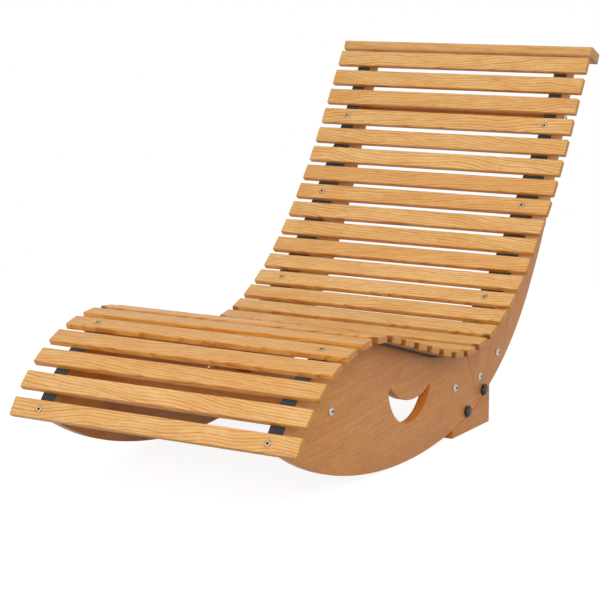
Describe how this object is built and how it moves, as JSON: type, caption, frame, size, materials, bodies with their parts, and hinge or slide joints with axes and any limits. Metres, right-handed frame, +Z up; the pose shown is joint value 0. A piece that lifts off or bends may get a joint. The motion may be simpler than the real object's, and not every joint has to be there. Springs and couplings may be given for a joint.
{
  "type": "rocking chaise lounge",
  "caption": "Rocking chaise lounge: a slatted wooden mat on webbing straps over two shaped side boards with round rocker undersides, hand grips and stop feet.",
  "frame": {"origin": "on the ground under the middle of the lounge's length and width", "axes": "+Y runs from the foot end to the head end, +Z is up, +X is to the right as seen from the foot end"},
  "size_m": [0.6, 1.2778, 0.7434],
  "materials": {
    "slat_wood": "oiled golden hardwood with open cathedral grain",
    "frame_wood": "oiled redder hardwood boards with streaked grain",
    "strap_webbing": "charcoal woven webbing",
    "bolt_zinc": "zinc plated domed bolt heads",
    "cap_black": "satin black hexagonal caps"
  },
  "bodies": {
    "root": {"slat_01": "slat_wood", "slat_02": "slat_wood", "slat_03": "slat_wood", "slat_04": "slat_wood", "slat_05": "slat_wood", "slat_06": "slat_wood", "slat_07": "slat_wood", "slat_08": "slat_wood", "slat_09": "slat_wood", "slat_10": "slat_wood", "slat_11": "slat_wood", "slat_12": "slat_wood", "slat_13": "slat_wood", "slat_14": "slat_wood", "slat_15": "slat_wood", "slat_16": "slat_wood", "slat_17": "slat_wood", "slat_18": "slat_wood", "slat_19": "slat_wood", "slat_20": "slat_wood", "slat_21": "slat_wood", "slat_22": "slat_wood", "slat_23": "slat_wood", "slat_24": "slat_wood", "slat_25": "slat_wood", "slat_26": "slat_wood", "slat_27": "slat_wood", "slat_28": "slat_wood", "slat_29": "slat_wood", "slat_30": "slat_wood", "top_rail": "slat_wood", "front_cross_rail": "frame_wood", "lower_back_cross_rail": "frame_wood", "upper_back_cross_rail": "frame_wood", "front_panel_left": "frame_wood", "rear_arm_left": "frame_wood", "stop_plate_left": "frame_wood", "webbing_strap_left": "strap_webbing", "front_cross_rail_bolt_left": "bolt_zinc", "lower_back_cross_rail_bolt_left": "bolt_zinc", "upper_back_cross_rail_bolt_left": "bolt_zinc", "plate_bolt_front_left": "bolt_zinc", "plate_bolt_rear_left": "bolt_zinc", "knob_bolt_front_left": "cap_black", "knob_bolt_rear_left": "cap_black", "front_panel_right": "frame_wood", "rear_arm_right": "frame_wood", "stop_plate_right": "frame_wood", "webbing_strap_right": "strap_webbing", "front_cross_rail_bolt_right": "bolt_zinc", "lower_back_cross_rail_bolt_right": "bolt_zinc", "upper_back_cross_rail_bolt_right": "bolt_zinc", "plate_bolt_front_right": "bolt_zinc", "plate_bolt_rear_right": "bolt_zinc", "knob_bolt_front_right": "cap_black", "knob_bolt_rear_right": "cap_black"}
  },
  "joints": []
}
